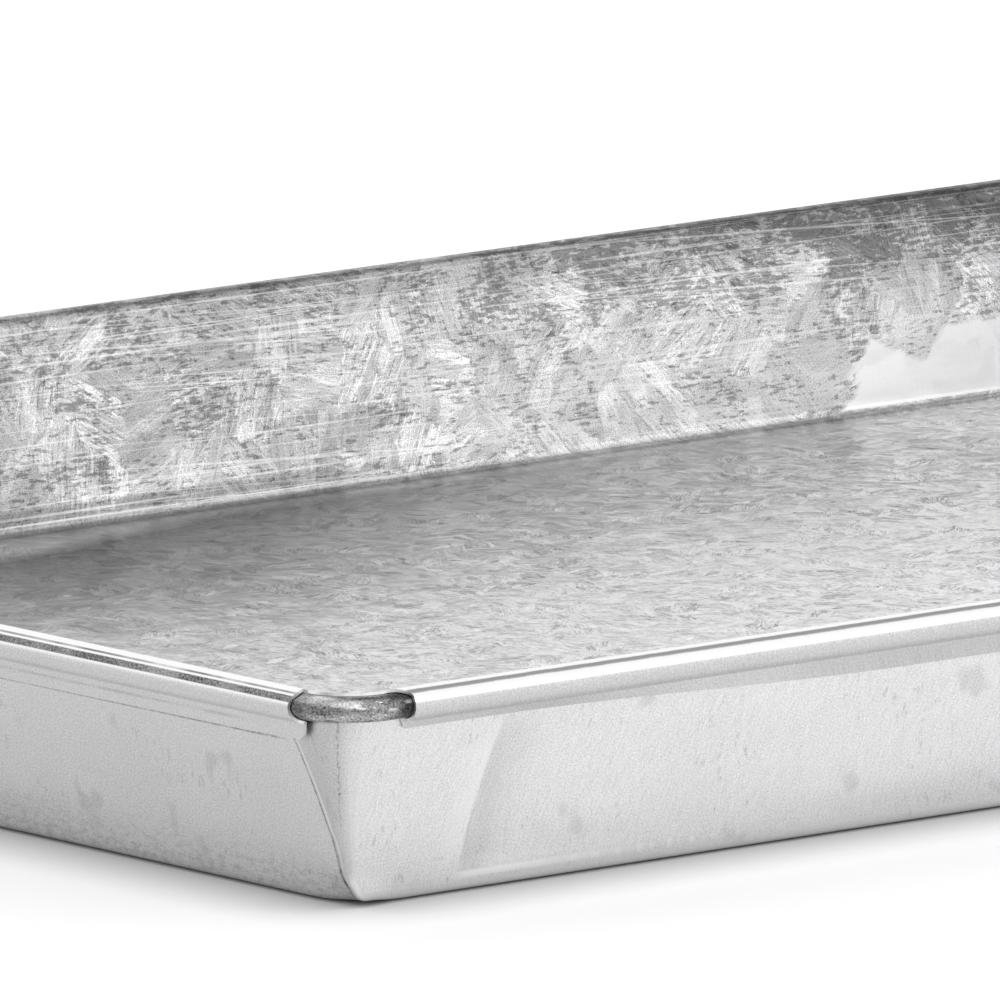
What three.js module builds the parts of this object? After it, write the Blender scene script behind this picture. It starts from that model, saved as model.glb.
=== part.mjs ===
// Wired-rim baking tray in two pieces: one galvanised sheet folded up into a shallow tray,
// and the wire that its edge is rolled round. Millimetres, +Z up. X runs along the long sides.
// The origin is at the middle of the bottom, on its underside.
import * as THREE from 'three';

// The whole tray
const RIM_LENGTH = 480; // over the rolled rim, along X
const RIM_WIDTH = 350; // over the rolled rim, along Y
const HEIGHT = 38; // from the underside to the top of the rim
const WALL_FLARE = 12; // degrees that each wall leans out

// The sheet
const SHEET = 0.55; // thickness
const BASE_BEND_RADIUS = 2.2; // inside the bend between the bottom and a wall
const BASE_CORNER_RADIUS = 0.6; // corners of the flat bottom, in plan
const FOLD_GAP = 0.3; // between two layers of sheet that lie on each other

// The wire
const WIRE_DIAMETER = 4.1;
const WIRE_CLEARANCE = 0.3; // between the wire and the sheet rolled round it
const WIRE_BEND_RADIUS = 10; // at a corner, to the wire's centre line
const WIRE_END_GAP = 1; // where the wire's two ends meet, inside the back rim

// The rolled rim: its hem hangs below the bead, and it stops short of the corners
const HEM_DEPTH = 3.8; // how far the hem hangs below the bead
const HEM_BEND_RADIUS = 0.8; // between the bead and the hem, to the middle of the sheet
const HEM_EASE = 9; // length over which the hem of an end wall closes up past the ear
const LONG_BEAD_END = 2.7; // from the start of the wire's bend to the end of a long wall's bead
const LONG_HEM_END = 5.6; // the same to the end of its hem
const SHORT_BEAD_END = -1.2; // on an end wall the bead runs on past the start of the bend
const SHORT_HEM_END = 0.5;
const LIP_ANGLE = 50; // degrees that the sheet follows the wire at the bare corners

// The ears: at each corner the spare sheet is folded flat on the end wall
const EAR_REACH = 5.6; // width of the folded layers at their top edge
const EAR_SEAT = 1.15; // from the corner's bend to the ear's inner fold
const EAR_RISE = 14; // height at which the fold has closed up

// Fineness of the curves
const BEND_STEPS = 3;
const CORNER_STEPS = 6;
const EAR_STEPS = 4;
const EAR_ROWS = 3;
const CURL_STEPS = 10;
const WIRE_SIDES = 12;

const ZINC = new THREE.MeshStandardMaterial({ color: 0xb9bcbe, metalness: 1, roughness: 0.38 });
const WIRE_STEEL = new THREE.MeshStandardMaterial({ color: 0x8d9092, metalness: 1, roughness: 0.5 });

const flare = THREE.MathUtils.degToRad(WALL_FLARE);
const sinF = Math.sin(flare);
const cosF = Math.cos(flare);
const half = SHEET / 2;
const wireRadius = WIRE_DIAMETER / 2;
const curlRadius = wireRadius + WIRE_CLEARANCE + half;
const layer = SHEET + FOLD_GAP;
const earDepth = 2 * layer;

// The wire's centre line, which every level of the sheet is measured from
const wireHeight = HEIGHT - half - curlRadius;
const wireHalfLength = RIM_LENGTH / 2 - half - curlRadius;
const wireHalfWidth = RIM_WIDTH / 2 - half - curlRadius;

// A point of the wall's cross-section: out is measured square to the wall from the middle of the
// sheet, along is measured up the wall from the point nearest the wire. The result's x is the
// distance outside the wire's centre line, and its y is the height.
function wallPoint(out, along) {
  const x = (out - curlRadius) * cosF + along * sinF;
  const y = wireHeight - (out - curlRadius) * sinF + along * cosF;
  return new THREE.Vector2(x, y);
}

const bendRadius = BASE_BEND_RADIUS + half;
const bendTop = half + bendRadius * (1 - sinF);
const wallTop = wallPoint(0, 0);
const wallFoot = wallPoint(0, (bendTop - wallTop.y) / cosF);
const bendStart = wallFoot.x - bendRadius * cosF;

function alongAt(height) {
  return (height - wallTop.y) / cosF;
}

// The levels of the sheet, from the flat bottom up the wall. Each has a place in the cross-section.
// fold says how far the ear's fold has closed at that level, reach is the width of its layers, and
// bulge says how far the corner stands out to carry the ear.
const levels = [];
levels.push({ at: new THREE.Vector2(bendStart - bendRadius, half), fold: 0, reach: 0, bulge: 0 });
for (let k = 0; k <= BEND_STEPS; k++) {
  const turn = (k / BEND_STEPS) * (Math.PI / 2 - flare);
  const x = bendStart + bendRadius * Math.sin(turn);
  const y = half + bendRadius * (1 - Math.cos(turn));
  levels.push({ at: new THREE.Vector2(x, y), fold: 0, reach: 0, bulge: 0 });
}
const riseFoot = alongAt(bendTop);
const riseTop = alongAt(Math.max(EAR_RISE, bendTop + 1));
for (let k = 1; k <= EAR_STEPS; k++) {
  const fold = k / EAR_STEPS;
  const along = THREE.MathUtils.lerp(riseFoot, riseTop, fold);
  levels.push({ at: wallPoint(0, along), fold, reach: 0, bulge: fold });
}
const earTop = -(curlRadius + half + FOLD_GAP) - earDepth * sinF;
for (let k = 1; k <= EAR_ROWS; k++) {
  const along = THREE.MathUtils.lerp(riseTop, earTop, k / EAR_ROWS);
  levels.push({ at: wallPoint(0, along), fold: 1, reach: (EAR_REACH * k) / EAR_ROWS, bulge: 1 });
}
const EAR_LEVEL = levels.length - 1;
levels.push({ at: wallPoint(0, -0.35 * wireRadius), fold: 0, reach: 0, bulge: 0 });

// Round the wire, by degrees from where the wall meets the bead
function curlPoint(degrees) {
  const turn = THREE.MathUtils.degToRad(180 - degrees);
  return wallPoint(curlRadius * (1 + Math.cos(turn)), curlRadius * Math.sin(turn));
}
const LIP_STEPS = 3;
for (let k = 0; k <= LIP_STEPS; k++) {
  levels.push({ at: curlPoint((k / LIP_STEPS) * LIP_ANGLE), fold: 0, reach: 0, bulge: 0 });
}
const LIP_LEVEL = levels.length - 1;

// The rest of the bead and its hem, for a hem that lies this far out from the wall. cut says how far
// the notch has opened from the lip to the bead's end, and tip how far from there to the hem's end.
function beadLevels(hemOut) {
  const rest = [];
  const past = Math.asin((curlRadius - HEM_BEND_RADIUS - hemOut) / (curlRadius + HEM_BEND_RADIUS));
  const last = 270 + THREE.MathUtils.radToDeg(past);
  for (let k = 1; k <= CURL_STEPS; k++) {
    const degrees = THREE.MathUtils.lerp(LIP_ANGLE, last, k / CURL_STEPS);
    rest.push({ at: curlPoint(degrees), cut: Math.min(1, k / 3), tip: 0 });
  }
  const out = hemOut + HEM_BEND_RADIUS;
  const along = -(curlRadius + HEM_BEND_RADIUS) * Math.cos(past);
  for (let k = 1; k <= BEND_STEPS; k++) {
    const left = (1 - k / BEND_STEPS) * (Math.PI / 2 + past);
    const at = wallPoint(out - HEM_BEND_RADIUS * Math.cos(left), along + HEM_BEND_RADIUS * Math.sin(left));
    rest.push({ at, cut: 1, tip: k / BEND_STEPS });
  }
  const end = -(curlRadius + half + HEM_DEPTH);
  rest.push({ at: wallPoint(hemOut, Math.min(end, along - HEM_BEND_RADIUS)), cut: 1, tip: 1 });
  return rest;
}
const closeHem = beadLevels(layer);
const openHem = beadLevels(earDepth + layer);
const LEVELS = levels.length + closeHem.length;

// Plan radius of the corner at a place in the cross-section: concentric with the wire at the top,
// and drawn in to the bottom's corner radius below it.
function cornerRadius(at) {
  const top = WIRE_BEND_RADIUS + wallTop.x;
  if (at.y >= wallTop.y - 1e-9) return WIRE_BEND_RADIUS + at.x;
  const share = THREE.MathUtils.clamp((at.y - bendTop) / (wallTop.y - bendTop), 0, 1);
  return THREE.MathUtils.lerp(BASE_CORNER_RADIUS, top, share * share);
}

// The ear's fold in plan, from the end of its outer layer to the start of the end wall: a bend one
// way, a straight layer and a bend back. It starts as a flat line and closes to three layers.
// Each point's x runs along the end wall and its y outwards, from the start of the end wall.
function foldPoints(fold, reach) {
  const points = [];
  if (fold === 0) {
    const length = (2 * earDepth) / Math.PI;
    for (let k = 0; k <= 2 * EAR_STEPS + 1; k++) {
      points.push(new THREE.Vector2((k / (2 * EAR_STEPS + 1) - 1) * length, 0));
    }
    return points;
  }
  const turn = fold * Math.PI;
  const depth = fold * earDepth;
  const straight = 0.15 * layer + reach;
  const radius = (depth - straight * Math.sin(turn)) / (2 * (1 - Math.cos(turn)));
  const start = -2 * radius * Math.sin(turn) - straight * Math.cos(turn);
  for (let k = 0; k <= EAR_STEPS; k++) {
    const a = (k / EAR_STEPS) * turn;
    points.push(new THREE.Vector2(start + radius * Math.sin(a), depth - radius * (1 - Math.cos(a))));
  }
  for (let k = EAR_STEPS; k >= 0; k--) {
    const a = (k / EAR_STEPS) * turn;
    points.push(new THREE.Vector2(-radius * Math.sin(a), radius * (1 - Math.cos(a))));
  }
  return points;
}

// One quarter of the sheet, from the middle of a long wall round a corner to the middle of an end
// wall, as columns of points that run from the bottom up. Each column says where it is at a level.
const cornerLength = wireHalfLength - WIRE_BEND_RADIUS;
const cornerWidth = wireHalfWidth - WIRE_BEND_RADIUS;
const hemHold = cornerWidth - EAR_SEAT - EAR_REACH - earDepth;

function beadLevel(rest, j) {
  return rest[j - levels.length];
}

function longColumn(share) {
  return (j) => {
    if (j < levels.length) {
      const { at } = levels[j];
      const x = wireHalfLength + at.x - cornerRadius(at);
      return new THREE.Vector3(x * share, wireHalfWidth + at.x, at.y);
    }
    const { at, cut, tip } = beadLevel(closeHem, j);
    const x = cornerLength - THREE.MathUtils.lerp(cut * LONG_BEAD_END, LONG_HEM_END, tip);
    return new THREE.Vector3(x * share, wireHalfWidth + at.x, at.y);
  };
}

function cornerColumn(share) {
  return (j) => {
    const { at, bulge } = levels[j];
    const radius = cornerRadius(at);
    const out = bulge * earDepth * THREE.MathUtils.smoothstep(share, 0.3, 1);
    const x = wireHalfLength + at.x - radius + (radius + out) * Math.sin((share * Math.PI) / 2);
    const y = wireHalfWidth + at.x - radius + (radius + out) * Math.cos((share * Math.PI) / 2);
    return new THREE.Vector3(x, y, at.y);
  };
}

function earColumn(index) {
  return (j) => {
    const { at, fold, reach } = levels[j];
    const point = foldPoints(fold, reach)[index];
    const y = wireHalfWidth + at.x - cornerRadius(at) - EAR_SEAT - point.x;
    return new THREE.Vector3(wireHalfLength + at.x + point.y, y, at.y);
  };
}

function endSeatColumn(j) {
  if (j < levels.length) {
    const { at } = levels[j];
    const y = wireHalfWidth + at.x - cornerRadius(at) - EAR_SEAT;
    return new THREE.Vector3(wireHalfLength + at.x, y, at.y);
  }
  const { at, cut, tip } = beadLevel(openHem, j);
  const beadEnd = THREE.MathUtils.lerp(EAR_SEAT, SHORT_BEAD_END, cut);
  const y = cornerWidth - THREE.MathUtils.lerp(beadEnd, SHORT_HEM_END, tip);
  return new THREE.Vector3(wireHalfLength + at.x, y, at.y);
}

function endColumn(y, hem) {
  return (j) => {
    const { at } = j < levels.length ? levels[j] : beadLevel(hem, j);
    return new THREE.Vector3(wireHalfLength + at.x, y, at.y);
  };
}

const quarter = [];
quarter.push({ top: LEVELS - 1, at: longColumn(0) });
quarter.push({ top: LEVELS - 1, at: longColumn(1) });
for (let k = 1; k <= CORNER_STEPS; k++) {
  quarter.push({ top: LIP_LEVEL, at: cornerColumn(k / CORNER_STEPS) });
}
for (let k = 0; k < 2 * EAR_STEPS + 1; k++) {
  quarter.push({ top: EAR_LEVEL, at: earColumn(k) });
}
quarter.push({ top: LEVELS - 1, at: endSeatColumn });
quarter.push({ top: LEVELS - 1, at: endColumn(hemHold, openHem) });
quarter.push({ top: LEVELS - 1, at: endColumn(hemHold - HEM_EASE, closeHem) });
quarter.push({ top: LEVELS - 1, at: endColumn(0, closeHem) });

// All the way round, as four mirrored quarters
function columnPoints(column, sx, sy) {
  const points = [];
  for (let j = 0; j <= column.top; j++) points.push(column.at(j).multiply(new THREE.Vector3(sx, sy, 1)));
  return points;
}
const ring = [];
for (const [sx, sy] of [[-1, -1], [-1, 1], [1, 1], [1, -1]]) {
  const order = sx === sy ? quarter : [...quarter].reverse();
  for (const column of order.slice(0, -1)) ring.push(columnPoints(column, sx, sy));
}

// The sheet as one closed body: each point of the middle surface gives one on the outer face and
// one on the inner face, half a thickness to each side. Where columns stop, the cut edge is closed.
function sheetGeometry(columns) {
  const count = columns.length;
  const column = (i) => columns[(i + count) % count];
  const joined = (i, j) => j < column(i).length && j < column(i + 1).length;

  function direction(from, to) {
    return new THREE.Vector3().subVectors(to, from).normalize();
  }

  // Unit vector across the sheet, and how much further out the offset corner lies
  function across(i, j) {
    const here = column(i)[j];
    const round = [];
    if (joined(i - 1, j)) round.push(direction(column(i - 1)[j], here));
    if (joined(i, j)) round.push(direction(here, column(i + 1)[j]));
    const alongRing = new THREE.Vector3();
    for (const d of round) alongRing.add(d);
    const spread = alongRing.length() / round.length;
    alongRing.normalize();
    const rise = [];
    if (j > 0) rise.push(direction(column(i)[j - 1], here));
    if (j + 1 < column(i).length) rise.push(direction(here, column(i)[j + 1]));
    const upSheet = new THREE.Vector3();
    for (const d of rise) upSheet.add(d.addScaledVector(alongRing, -d.dot(alongRing)).normalize());
    const climb = upSheet.length() / rise.length;
    const normal = new THREE.Vector3().crossVectors(upSheet, alongRing).normalize();
    return normal.multiplyScalar(half / Math.max(0.8, spread * climb));
  }

  const positions = [];
  const outer = new Map();
  for (let i = 0; i < count; i++) {
    for (let j = 0; j < column(i).length; j++) {
      const step = across(i, j);
      const here = column(i)[j];
      outer.set(i + ':' + j, positions.length / 3);
      positions.push(...here.clone().add(step), ...here.clone().sub(step));
    }
  }
  const vertex = (i, j, side) => outer.get(((i + count) % count) + ':' + j) + side;

  const faces = [];
  function quad(a, b, c, d) {
    faces.push(a, b, c, a, c, d);
  }
  const hasCell = (i, j) => j >= 0 && joined(i, j + 1);
  function closeEdge(a, b) {
    quad(vertex(...b, 0), vertex(...a, 0), vertex(...a, 1), vertex(...b, 1));
  }
  for (let i = 0; i < count; i++) {
    for (let j = 0; hasCell(i, j); j++) {
      const corners = [[i, j], [i, j + 1], [i + 1, j + 1], [i + 1, j]];
      quad(...corners.map(([a, b]) => vertex(a, b, 0)));
      quad(...corners.map(([a, b]) => vertex(a, b, 1)).reverse());
      if (!hasCell(i - 1, j)) closeEdge(corners[0], corners[1]);
      if (!hasCell(i, j + 1)) closeEdge(corners[1], corners[2]);
      if (!hasCell(i + 1, j)) closeEdge(corners[2], corners[3]);
    }
  }

  // The flat bottom, as a fan on each face
  const middle = positions.length / 3;
  positions.push(0, 0, 0, 0, 0, SHEET);
  for (let i = 0; i < count; i++) {
    faces.push(middle, vertex(i, 0, 0), vertex(i + 1, 0, 0));
    faces.push(middle + 1, vertex(i + 1, 0, 1), vertex(i, 0, 1));
  }
  const geometry = new THREE.BufferGeometry();
  geometry.setAttribute('position', new THREE.Float32BufferAttribute(positions, 3));
  geometry.setIndex(faces);
  return geometry;
}

// The wire: one rod bent to a rectangle with rounded corners. Its ends meet in the back rim.
function wireGeometry() {
  const stations = [];
  const addStation = (x, y, heading) => stations.push({ x, y, heading });
  addStation(-WIRE_END_GAP / 2, wireHalfWidth, Math.PI);
  for (const [sx, sy, start] of [[-1, 1, 90], [-1, -1, 180], [1, -1, 270], [1, 1, 360]]) {
    for (let k = 0; k <= CORNER_STEPS; k++) {
      const a = THREE.MathUtils.degToRad(start + (90 * k) / CORNER_STEPS);
      const x = sx * cornerLength + WIRE_BEND_RADIUS * Math.cos(a);
      const y = sy * cornerWidth + WIRE_BEND_RADIUS * Math.sin(a);
      addStation(x, y, a + Math.PI / 2);
    }
  }
  addStation(WIRE_END_GAP / 2, wireHalfWidth, Math.PI);

  const positions = [];
  const faces = [];
  for (const { x, y, heading } of stations) {
    for (let k = 0; k < WIRE_SIDES; k++) {
      const a = (2 * Math.PI * k) / WIRE_SIDES;
      const side = wireRadius * Math.cos(a);
      positions.push(x + side * Math.sin(heading), y - side * Math.cos(heading));
      positions.push(wireHeight + wireRadius * Math.sin(a));
    }
  }
  for (let s = 0; s + 1 < stations.length; s++) {
    for (let k = 0; k < WIRE_SIDES; k++) {
      const a = s * WIRE_SIDES + k;
      const b = s * WIRE_SIDES + ((k + 1) % WIRE_SIDES);
      faces.push(a, b + WIRE_SIDES, b, a, a + WIRE_SIDES, b + WIRE_SIDES);
    }
  }
  const lastRing = (stations.length - 1) * WIRE_SIDES;
  for (let k = 1; k + 1 < WIRE_SIDES; k++) {
    faces.push(0, k, k + 1);
    faces.push(lastRing, lastRing + k + 1, lastRing + k);
  }
  const geometry = new THREE.BufferGeometry();
  geometry.setAttribute('position', new THREE.Float32BufferAttribute(positions, 3));
  geometry.setIndex(faces);
  return geometry;
}

function addPiece(group, name, geometry, material) {
  geometry.computeVertexNormals();
  const mesh = new THREE.Mesh(geometry, material);
  mesh.name = name;
  group.add(mesh);
}

const tray = new THREE.Group();
tray.name = 'wired_rim_baking_tray';
addPiece(tray, 'pan_sheet', sheetGeometry(ring), ZINC);
addPiece(tray, 'rim_wire', wireGeometry(), WIRE_STEEL);

export default tray;
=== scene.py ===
"""A wired-rim baking tray in spangled zinc sheet: the folded sheet and the wire in its rim, with
their finishes, a pale studio and the photographed view. Everything is in the part's own frame."""
import math
from collections import namedtuple

import bpy
import numpy as np
from mathutils import Matrix, Vector


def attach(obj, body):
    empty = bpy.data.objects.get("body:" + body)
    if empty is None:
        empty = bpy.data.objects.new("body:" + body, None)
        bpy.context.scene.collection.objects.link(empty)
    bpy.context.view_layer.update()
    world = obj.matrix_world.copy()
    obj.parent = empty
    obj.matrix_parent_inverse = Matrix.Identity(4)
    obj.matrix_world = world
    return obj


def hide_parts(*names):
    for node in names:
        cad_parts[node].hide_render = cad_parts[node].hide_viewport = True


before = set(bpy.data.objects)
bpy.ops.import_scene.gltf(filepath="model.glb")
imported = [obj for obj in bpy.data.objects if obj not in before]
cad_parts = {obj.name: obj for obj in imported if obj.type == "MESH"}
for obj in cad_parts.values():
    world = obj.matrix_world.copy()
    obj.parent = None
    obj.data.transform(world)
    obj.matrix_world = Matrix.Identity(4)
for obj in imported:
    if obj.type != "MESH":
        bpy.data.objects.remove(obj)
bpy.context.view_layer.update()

MM = 0.001

# Sizes of the sheet and the wire in millimetres, as in the solids
RIM_LENGTH = 480.0
RIM_WIDTH = 350.0
HEIGHT = 38.0
FLARE = math.radians(12.0)
SHEET = 0.55
BASE_BEND_RADIUS = 2.2
BASE_CORNER_RADIUS = 0.6
FOLD_GAP = 0.3
WIRE_RADIUS = 2.05
WIRE_CLEARANCE = 0.3
WIRE_BEND_RADIUS = 10.0
WIRE_END_GAP = 1.0
HEM_BEND_RADIUS = 0.8
HEM_EASE = 9.0
LONG_HEM_END = 5.6
SHORT_BEAD_END = -1.2
SHORT_HEM_END = 0.5
LIP_ANGLE = 50.0
EAR_REACH = 5.6
EAR_SEAT = 1.15
EAR_RISE = 14.0

# Sizes that the solids have otherwise, or not at all
WIRE_SHOWN = 2.2  # radius of the shown wire, which nearly touches the sheet round it
LONG_BEAD_END = 3.7
SHORT_BEAD_HOLLOW = 1.6  # how far the end of an end wall's bead is cut back at its middle
NOTCH_RATE = 3.3  # the notch is fully open 1 / 3.3 of the way round from the lip
LONG_HEM_DEPTH = (2.2, 4.4)  # below the bead, at the corners and along the wall
LONG_HEM_GROWS = (20.0, 110.0)  # over these distances from the corner
END_HEM_DEPTH = (4.45, 4.6)
END_HEM_GROWS = (10.0, 80.0)
EAR_HEM_LESS = 1.4  # over an ear
HEM_PRESS = 0.2  # how much closer the long walls' hems lie than the folding gap
HEM_CORNER = 0.9  # how far the lower corner of a hem's end is cut back
HEM_TIP_LIFT = 0.55  # how far the hem of an end wall stands off the ear at its end
HEM_TIP = 4.0  # the length over which it does

# Fineness of the mesh
BEND_STEPS = 7
CORNER_STEPS = 14
EAR_STEPS = 8
RISE_ROWS = 10
EAR_ROWS = 14
LIP_STEPS = 5
CURL_STEPS = 22
HEM_ROWS = 3
LONG_STEPS = 30
CLOSE_SHARE = 0.8
CLOSE_STEPS = 40
END_STEPS = 20
EAR_COLUMN = 1.4  # the width of a column over the ear, in millimetres, and their number
EAR_COLUMNS = 14
WIRE_PIECE = 12.0  # the longest piece of the straight wire
WIRE_SIDES = 28

SIN = math.sin(FLARE)
COS = math.cos(FLARE)
HALF = SHEET / 2
CURL = WIRE_RADIUS + WIRE_CLEARANCE + HALF
LAYER = SHEET + FOLD_GAP
EAR_DEPTH = 2 * LAYER
WIRE_Z = HEIGHT - HALF - CURL
WIRE_X = RIM_LENGTH / 2 - HALF - CURL
WIRE_Y = RIM_WIDTH / 2 - HALF - CURL
CORNER_X = WIRE_X - WIRE_BEND_RADIUS
CORNER_Y = WIRE_Y - WIRE_BEND_RADIUS


def lerp(a, b, t):
    return a + (b - a) * t


def smooth(value, start, end):
    """0 before start and 1 after end, with a soft step between them."""
    t = np.clip((value - start) / (end - start), 0.0, 1.0)
    return t * t * (3 - 2 * t)


# The sheet's cross-section. Its first number is the distance outside the wire's centre line and
# its second is the height.
def wall_point(out, along):
    """out is square to the wall from the sheet's middle, along is up it from the wire's level."""
    x = (out - CURL) * COS + along * SIN
    return np.array([x, WIRE_Z - (out - CURL) * SIN + along * COS])


def curl_point(degrees):
    """A point of the bead, by degrees round the wire from where the wall meets it."""
    turn = math.radians(180 - degrees)
    return wall_point(CURL * (1 + math.cos(turn)), CURL * math.sin(turn))


BEND = BASE_BEND_RADIUS + HALF
BEND_TOP = HALF + BEND * (1 - SIN)
WALL_TOP = wall_point(0, 0)
WALL_FOOT = wall_point(0, (BEND_TOP - WALL_TOP[1]) / COS)
BEND_START = WALL_FOOT[0] - BEND * COS


def along_at(height):
    return (height - WALL_TOP[1]) / COS


# One row of the sheet. fold says how far the ear's fold has closed there, reach is the width of
# its layers, and bulge how far the corner stands out to carry the ear. On the bead, cut says how
# far the notch has opened from the lip to the bead's end, and tip how far from there to the hem's
# end.
Level = namedtuple("Level", "at fold reach bulge cut tip", defaults=(0.0,) * 5)


def wall_levels():
    rows = [Level(np.array([BEND_START - BEND, HALF]))]
    for k in range(BEND_STEPS + 1):
        turn = k / BEND_STEPS * (math.pi / 2 - FLARE)
        x = BEND_START + BEND * math.sin(turn)
        rows.append(Level(np.array([x, HALF + BEND * (1 - math.cos(turn))])))
    foot, top = along_at(BEND_TOP), along_at(EAR_RISE)
    for k in range(1, RISE_ROWS + 1):
        fold = k / RISE_ROWS
        rows.append(Level(wall_point(0, lerp(foot, top, fold)), fold=fold, bulge=fold))
    ear_top = -(CURL + HALF + FOLD_GAP) - EAR_DEPTH * SIN
    for k in range(1, EAR_ROWS + 1):
        share = k / EAR_ROWS
        at = wall_point(0, lerp(top, ear_top, share))
        rows.append(Level(at, fold=1.0, reach=EAR_REACH * share, bulge=1.0))
    ear_level = len(rows) - 1
    rows.append(Level(wall_point(0, -0.6 * WIRE_RADIUS)))
    for k in range(LIP_STEPS + 1):
        rows.append(Level(curl_point(k / LIP_STEPS * LIP_ANGLE)))
    return rows, ear_level, len(rows) - 1


def bead_levels(hem_out, hem_depth):
    """The rest of the bead, its bend back and its hem, which lies hem_out from the wall."""
    rows = []
    past = math.asin((CURL - HEM_BEND_RADIUS - hem_out) / (CURL + HEM_BEND_RADIUS))
    last = 270 + math.degrees(past)
    for k in range(1, CURL_STEPS + 1):
        share = k / CURL_STEPS
        at = curl_point(lerp(LIP_ANGLE, last, share))
        rows.append(Level(at, cut=min(1.0, NOTCH_RATE * share)))
    out = hem_out + HEM_BEND_RADIUS
    along = -(CURL + HEM_BEND_RADIUS) * math.cos(past)
    for k in range(1, BEND_STEPS + 1):
        left = (1 - k / BEND_STEPS) * (math.pi / 2 + past)
        back, up = HEM_BEND_RADIUS * math.cos(left), HEM_BEND_RADIUS * math.sin(left)
        rows.append(Level(wall_point(out - back, along + up), cut=1.0, tip=0.5 * k / BEND_STEPS))
    end = min(-(CURL + HALF + hem_depth), along - 0.5)
    for k in range(1, HEM_ROWS + 1):
        share = k / HEM_ROWS
        at = wall_point(hem_out, lerp(along, end, share))
        rows.append(Level(at, cut=1.0, tip=0.5 + 0.5 * share))
    return rows


WALL, EAR_LEVEL, LIP_LEVEL = wall_levels()


def corner_radius(at):
    """In plan: concentric with the wire at the top, drawn in to the bottom's corner below it."""
    if at[1] >= WALL_TOP[1] - 1e-9:
        return WIRE_BEND_RADIUS + at[0]
    share = np.clip((at[1] - BEND_TOP) / (WALL_TOP[1] - BEND_TOP), 0.0, 1.0)
    return lerp(BASE_CORNER_RADIUS, WIRE_BEND_RADIUS + WALL_TOP[0], share * share)


def fold_points(fold, reach):
    """The ear's fold in plan, from the end of its outer layer to the start of the end wall: a bend
    one way, a straight layer and a bend back. x runs along the end wall and y outwards."""
    if fold == 0:
        length = 2 * EAR_DEPTH / math.pi
        return [((k / (2 * EAR_STEPS + 1) - 1) * length, 0.0) for k in range(2 * EAR_STEPS + 2)]
    turn = fold * math.pi
    depth = fold * EAR_DEPTH
    straight = 0.15 * LAYER + reach
    radius = (depth - straight * math.sin(turn)) / (2 * (1 - math.cos(turn)))
    start = -2 * radius * math.sin(turn) - straight * math.cos(turn)
    turns = [k / EAR_STEPS * turn for k in range(EAR_STEPS + 1)]
    first = [(start + radius * math.sin(a), depth - radius * (1 - math.cos(a))) for a in turns]
    second = [(-radius * math.sin(a), radius * (1 - math.cos(a))) for a in reversed(turns)]
    return first + second


# Columns of one quarter of the sheet, from the middle of a long wall round a corner to the middle
# of an end wall. Each is a list of points from the bottom up.
def long_column(share):
    depth = lerp(*LONG_HEM_DEPTH, smooth((1 - share) * CORNER_X, *LONG_HEM_GROWS))
    points = []
    for row in WALL:
        x = WIRE_X + row.at[0] - corner_radius(row.at)
        points.append((x * share, WIRE_Y + row.at[0], row.at[1]))
    for row in bead_levels(LAYER - HEM_PRESS, depth):
        x = CORNER_X - lerp(row.cut * LONG_BEAD_END, LONG_HEM_END, row.tip)
        points.append((x * share, WIRE_Y + row.at[0], row.at[1]))
    return points


def corner_column(share):
    points = []
    for row in WALL:
        radius = corner_radius(row.at)
        out = row.bulge * EAR_DEPTH * smooth(share, 0.3, 1.0)
        x = WIRE_X + row.at[0] - radius + (radius + out) * math.sin(share * math.pi / 2)
        y = WIRE_Y + row.at[0] - radius + (radius + out) * math.cos(share * math.pi / 2)
        points.append((x, y, row.at[1]))
    return points


def ear_column(index):
    points = []
    for row in WALL[:EAR_LEVEL + 1]:
        along, out = fold_points(row.fold, row.reach)[index]
        y = WIRE_Y + row.at[0] - corner_radius(row.at) - EAR_SEAT - along
        points.append((WIRE_X + row.at[0] + out, y, row.at[1]))
    return points


def end_column(share):
    """share is 1 next to the ear and 0 at the middle of the end wall."""
    hold = CORNER_Y - EAR_SEAT - EAR_REACH - EAR_DEPTH
    top = CORNER_Y - EAR_SEAT
    over_ear = smooth(share * top, hold - HEM_EASE, hold)
    lift = HEM_TIP_LIFT * smooth(share * top, top - HEM_TIP, top)
    depth = lerp(*END_HEM_DEPTH, smooth((1 - share) * top, *END_HEM_GROWS))
    depth -= EAR_HEM_LESS * over_ear
    points = []
    for row in WALL:
        y = WIRE_Y + row.at[0] - corner_radius(row.at) - EAR_SEAT
        points.append((WIRE_X + row.at[0], y * share, row.at[1]))
    for row in bead_levels(LAYER + EAR_DEPTH * over_ear + lift, depth):
        hollow = SHORT_BEAD_HOLLOW * max(0.0, row.at[0] / CURL)
        bead_end = lerp(EAR_SEAT, SHORT_BEAD_END + hollow, row.cut)
        y = CORNER_Y - lerp(bead_end, SHORT_HEM_END, row.tip)
        y -= HEM_CORNER * max(0.0, 4 * row.tip - 3) ** 2
        points.append((WIRE_X + row.at[0], y * share, row.at[1]))
    return points


def end_shares():
    """Close together over the ear, then even to the middle of the wall."""
    top = CORNER_Y - EAR_SEAT
    near = [1 - k * EAR_COLUMN / top for k in range(EAR_COLUMNS)]
    return near + [near[-1] * (1 - k / END_STEPS) for k in range(1, END_STEPS + 1)]


def long_shares(close):
    """Even along the wall. Where close, finer over the last stretch to the corner."""
    shares = [k / LONG_STEPS for k in range(LONG_STEPS + 1)]
    if close:
        shares = [s for s in shares if s < CLOSE_SHARE]
        shares += [lerp(CLOSE_SHARE, 1.0, k / CLOSE_STEPS) for k in range(CLOSE_STEPS + 1)]
    return shares


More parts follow.
